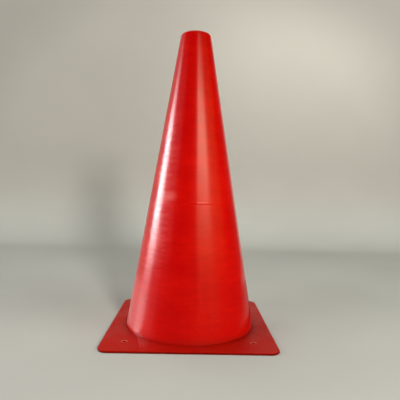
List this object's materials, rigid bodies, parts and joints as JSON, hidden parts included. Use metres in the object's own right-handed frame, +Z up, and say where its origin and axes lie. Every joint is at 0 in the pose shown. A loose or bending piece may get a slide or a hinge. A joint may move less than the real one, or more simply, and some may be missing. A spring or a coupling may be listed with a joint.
{
  "type": "sports marker cone",
  "caption": "Tall hollow plastic marker cone with a thin square base that drops over it, peg holes in the base's corners and a pole hole in the top.",
  "frame": {"origin": "on the cone's axis, at floor level", "axes": "+Z up along the cone's axis, X and Y square to the sides of the base"},
  "size_m": [0.203, 0.203, 0.38],
  "materials": {
    "cone_plastic": "glossy red polyethylene with faint turning marks from the mould",
    "base_plastic": "satin red polyethylene, slightly scuffed"
  },
  "bodies": {
    "cone": {"cone_shell": "cone_plastic"},
    "base": {"base_plate": "base_plastic"}
  },
  "joints": [
    {"name": "base_lift", "type": "slide", "parent": "cone", "child": "base", "axis": [0, 0, 1], "range_m": [0, 0.385]}
  ]
}
